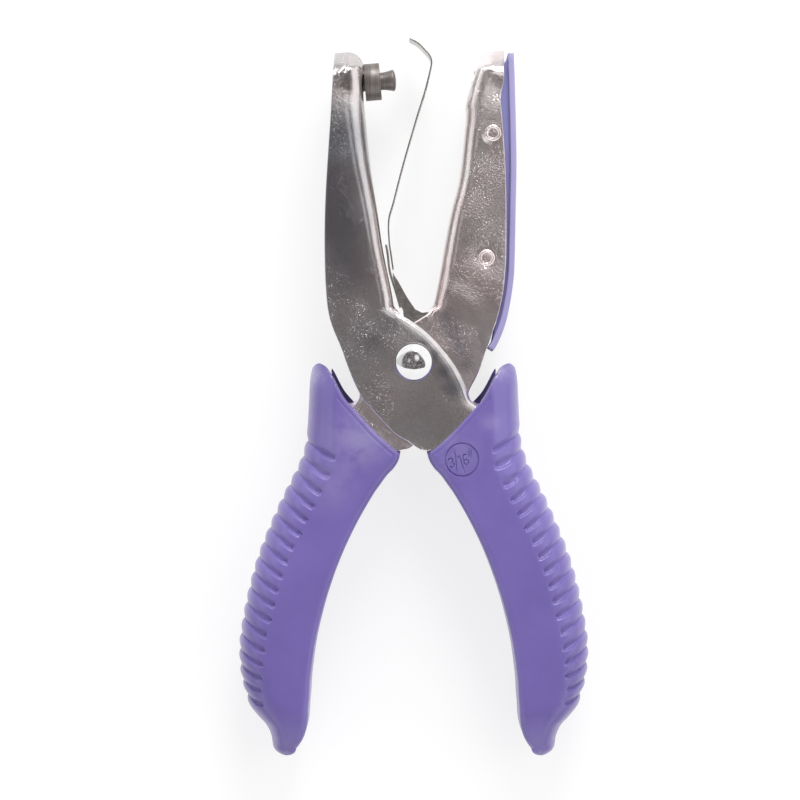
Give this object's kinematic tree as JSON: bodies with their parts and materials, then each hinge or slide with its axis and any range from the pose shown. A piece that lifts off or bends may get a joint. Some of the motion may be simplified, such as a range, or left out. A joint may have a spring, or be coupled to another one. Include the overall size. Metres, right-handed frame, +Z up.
{
  "type": "hand punch",
  "caption": "Long-reach plier-style hand punch for a small round hole, with chromed channel levers, a stripper leaf, a chip tray and ribbed moulded grips.",
  "frame": {"origin": "on the surface the tool lies on, under the middle of its outline", "axes": "+Y towards the jaws, +X towards the die jaw's side, +Z up out of the face seen in the picture; the pivot axis is parallel to Z"},
  "size_m": [0.0784, 0.1598, 0.0195],
  "materials": {
    "plated_steel": "bright plating over pressed steel, grainy reflections",
    "polished_rivet": "polished",
    "tool_steel": "ground",
    "black_steel": "black oxide with turning lines",
    "spring_steel": "rolled spring steel",
    "grip_plastic": "satin moulded, purple",
    "tray_plastic": "smooth moulded, lighter purple"
  },
  "bodies": {
    "die_side": {"die_lever": "plated_steel", "die_bush": "tool_steel", "die_grip": "grip_plastic", "pivot_rivet": "polished_rivet", "spacer_sleeve": "tool_steel", "return_spring": "spring_steel"},
    "punch_side": {"punch_lever": "plated_steel", "punch_pin": "black_steel", "punch_collar": "black_steel", "punch_grip": "grip_plastic", "stripper_bracket": "spring_steel"},
    "stripper": {"stripper_leaf": "spring_steel"},
    "tray": {"chip_tray": "tray_plastic"}
  },
  "joints": [
    {"name": "pivot", "type": "hinge", "parent": "die_side", "child": "punch_side", "pos_m": [0, 0.00742, 0.0095], "axis": [0, 0, -1], "range_deg": [0, 16], "stiffness_Nm_per_rad": 0.5, "springref_deg": -28.65, "deforming": ["return_spring"]},
    {"name": "stripper_flex", "type": "hinge", "parent": "punch_side", "child": "stripper", "pos_m": [-0.0055, 0.03442, 0.0095], "axis": [0, 0, 1], "range_deg": [0, 13.5]},
    {"name": "tray_release", "type": "slide", "parent": "die_side", "child": "tray", "axis": [1, 0, 0], "range_m": [0, 0.014]}
  ],
  "couplings": [
    {"joint": "stripper_flex", "follows": "pivot", "ratio": 0.8375}
  ]
}
